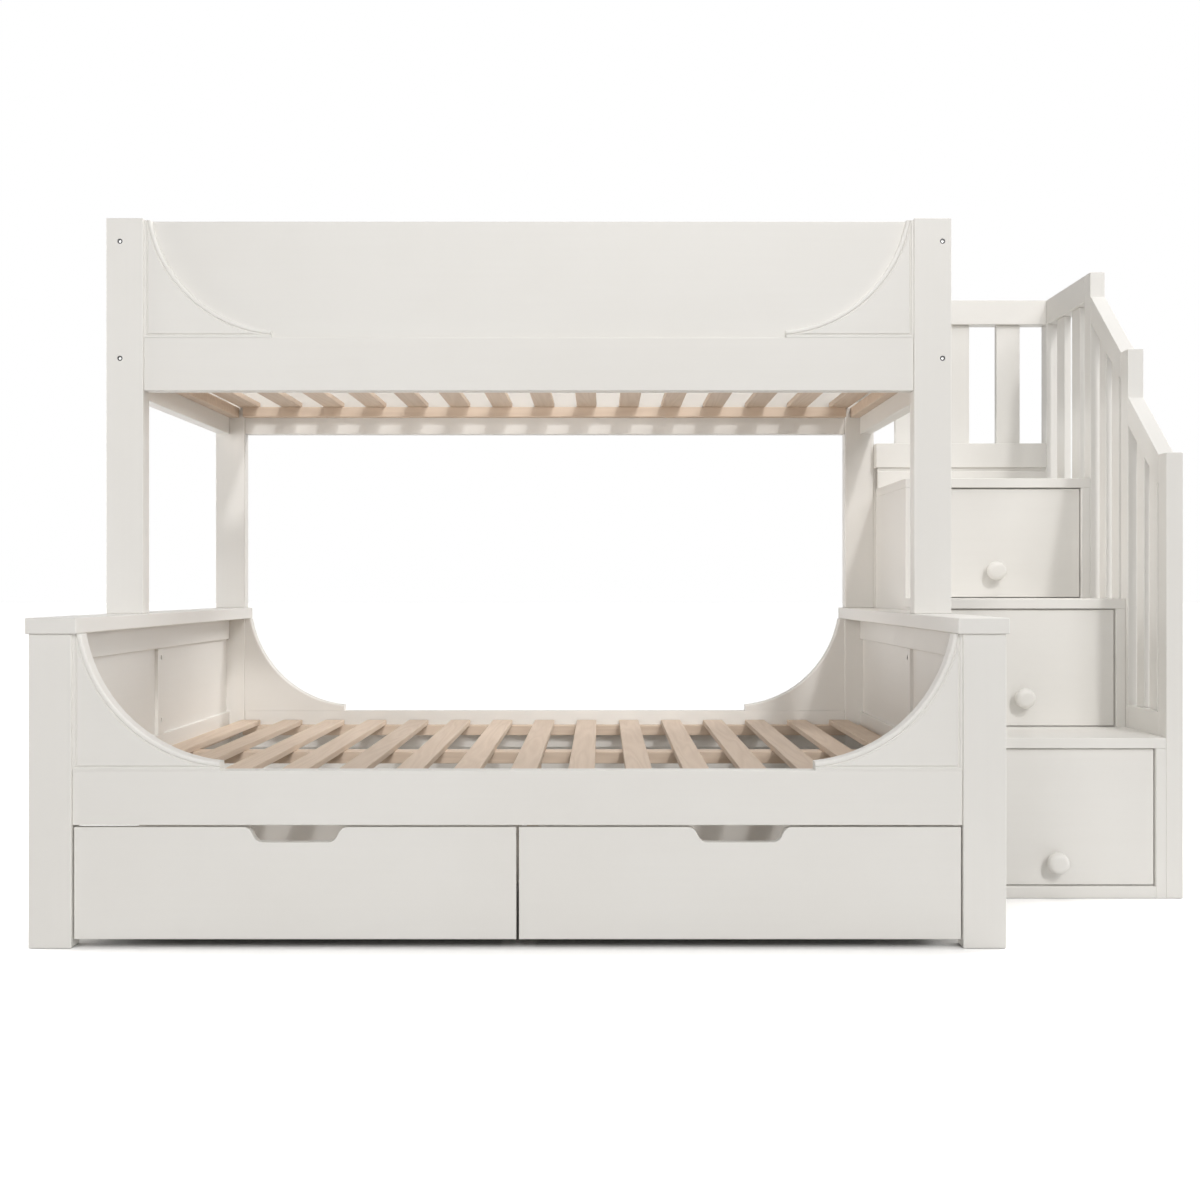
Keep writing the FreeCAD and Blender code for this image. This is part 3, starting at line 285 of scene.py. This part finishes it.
def finish_of(name):
    if name == "bolts":
        return dark_steel
    if name == "post_dowels" or name.endswith("_castors"):
        return bright_zinc
    if "_wheels_" in name:
        return plastic
    if name.endswith("_slats"):
        return slat_wood
    if "slat_" in name:
        return beam_wood
    if name.endswith("_box") or name == "stair_runners":
        return board_coat
    if any(word in name for word in ALONG_Z):
        return paints["Z"]
    if any(word in name for word in ALONG_Y):
        return paints["Y"]
    return paints["X"]


for name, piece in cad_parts.items():
    piece.data.materials.clear()
    piece.data.materials.append(finish_of(name))


# Floor and surroundings

FLOOR_REACH = 60
FLOOR_DROP = 0.0005
FLOOR_WHITE = (2.0, 2.0, 2.0)
FLOOR_BOUNCE = (0.74, 0.735, 0.725, 1)
SHADOW_REACH = 0.35
SHADOW_DEPTH = 0.9
SHADOW_DARKEST = 0.12
STUDIO_LIGHT = (1.0, 0.995, 0.985, 1)
WHITE = (1.0, 1.0, 1.0, 1)
LAMP_COLOUR = (1, 0.992, 0.982)


def seen_by(tree, *rays):
    """1 for the kinds of ray that are named and 0 for the others."""
    path = add(tree, "LightPath")
    seen = path.outputs[rays[0]]
    for ray in rays[1:]:
        seen = math_node(tree, "MAXIMUM", seen, path.outputs[ray])
    return seen


def floor():
    """A white floor with painted shade that darkens it softly close to the object."""
    mesh = bpy.data.meshes.new("floor")
    form = bmesh.new()
    bmesh.ops.create_grid(form, x_segments=1, y_segments=1, size=FLOOR_REACH)
    form.to_mesh(mesh)
    form.free()
    plane = bpy.data.objects.new("floor", mesh)
    scene.collection.objects.link(plane)
    plane.location.z = -FLOOR_DROP
    material = bpy.data.materials.new("floor_white")
    material.use_nodes = True
    tree = material.node_tree
    tree.nodes.clear()
    output = add(tree, "OutputMaterial")
    seen = seen_by(tree, "Is Camera Ray", "Is Glossy Ray")
    # Painted shade: occlusion darkens the white that camera and glossy rays see, under and beside
    # the object
    openness = add(tree, "AmbientOcclusion", Distance=SHADOW_REACH).outputs["AO"]
    falloff = math_node(tree, "POWER", openness, SHADOW_DEPTH)
    painted_shade = spread(tree, falloff, low=SHADOW_DARKEST, high=1.0)
    white = add(tree, "VectorMath", operation="SCALE", Scale=painted_shade)
    white.inputs[0].default_value = FLOOR_WHITE
    colour = mixed(tree, seen, FLOOR_BOUNCE, white.outputs[0])
    diffuse = add(tree, "BsdfDiffuse", Color=colour)
    tree.links.new(diffuse.outputs[0], output.inputs["Surface"])
    mesh.materials.append(material)


def surroundings(strength):
    """A white background that gives only a little light of its own."""
    world = bpy.data.worlds.new("studio")
    scene.world = world
    world.use_nodes = True
    tree = world.node_tree
    tree.nodes.clear()
    output = add(tree, "OutputWorld")
    seen = seen_by(tree, "Is Camera Ray", "Is Glossy Ray", "Is Transmission Ray")
    level = spread(tree, seen, low=strength, high=1.0)
    colour = mixed(tree, seen, STUDIO_LIGHT, WHITE)
    background = add(tree, "Background", Color=colour, Strength=level)
    tree.links.new(background.outputs[0], output.inputs["Surface"])


def place_lamp(name, kind, strength):
    lamp = bpy.data.lights.new(name, kind)
    lamp.energy = strength
    lamp.color = LAMP_COLOUR
    holder = bpy.data.objects.new(name, lamp)
    scene.collection.objects.link(holder)
    return lamp, holder


def sun(name, azimuth, height, strength, angle=20):
    """A far lamp, its angles in degrees: azimuth from the front towards the stairs, height above the
    floor, and the angle that the lamp itself spans."""
    lamp, holder = place_lamp(name, "SUN", strength)
    lamp.angle = math.radians(angle)
    holder.rotation_euler = (math.radians(90 - height), 0, math.radians(azimuth))


def softbox(name, place, target, size, power):
    """A square lamp that faces its target and is not seen itself."""
    lamp, holder = place_lamp(name, "AREA", power)
    lamp.size = size
    holder.visible_camera = False
    holder.location = place
    holder.rotation_euler = (Vector(target) - Vector(place)).to_track_quat("-Z", "Y").to_euler()


floor()
surroundings(strength=0.05)
sun("front_left", azimuth=-30, height=10, strength=0.40)
sun("front_high", azimuth=14, height=36, strength=0.80, angle=4)
sun("key", azimuth=20, height=25, strength=0.53, angle=16)
sun("right_low", azimuth=90, height=10, strength=0.88)
sun("behind_right", azimuth=120, height=35, strength=1.30)
softbox("front_top", place=(-0.1, -2.2, 2.6), target=(-0.1, 0, 1.0), size=1.6, power=10.6)
softbox("left_side", place=(-4.4, -0.25, 1.0), target=(-0.6, 0.6, 0.8), size=1.3, power=84)
softbox("bed_inside", place=(-0.25, -0.1, 1.02), target=(-0.4, 0.72, 0.45), size=0.7, power=1.8)
softbox("stairs_top", place=(1.0, -0.3, 3.2), target=(1.0, 0.0, 0.0), size=1.0, power=15)


# Camera at the photograph's place: level, looking along +Y

PHOTO_WIDE = 1200
camera = bpy.data.cameras.new("camera")
camera.sensor_width = 36
camera.lens = 42.06
camera.shift_x = -1 / PHOTO_WIDE
camera.shift_y = -13 / PHOTO_WIDE
viewer = bpy.data.objects.new("camera", camera)
viewer.location = (-0.1025, -3.586, 0.739)
viewer.rotation_euler = (math.pi / 2, 0, 0)
scene.collection.objects.link(viewer)
scene.camera = viewer
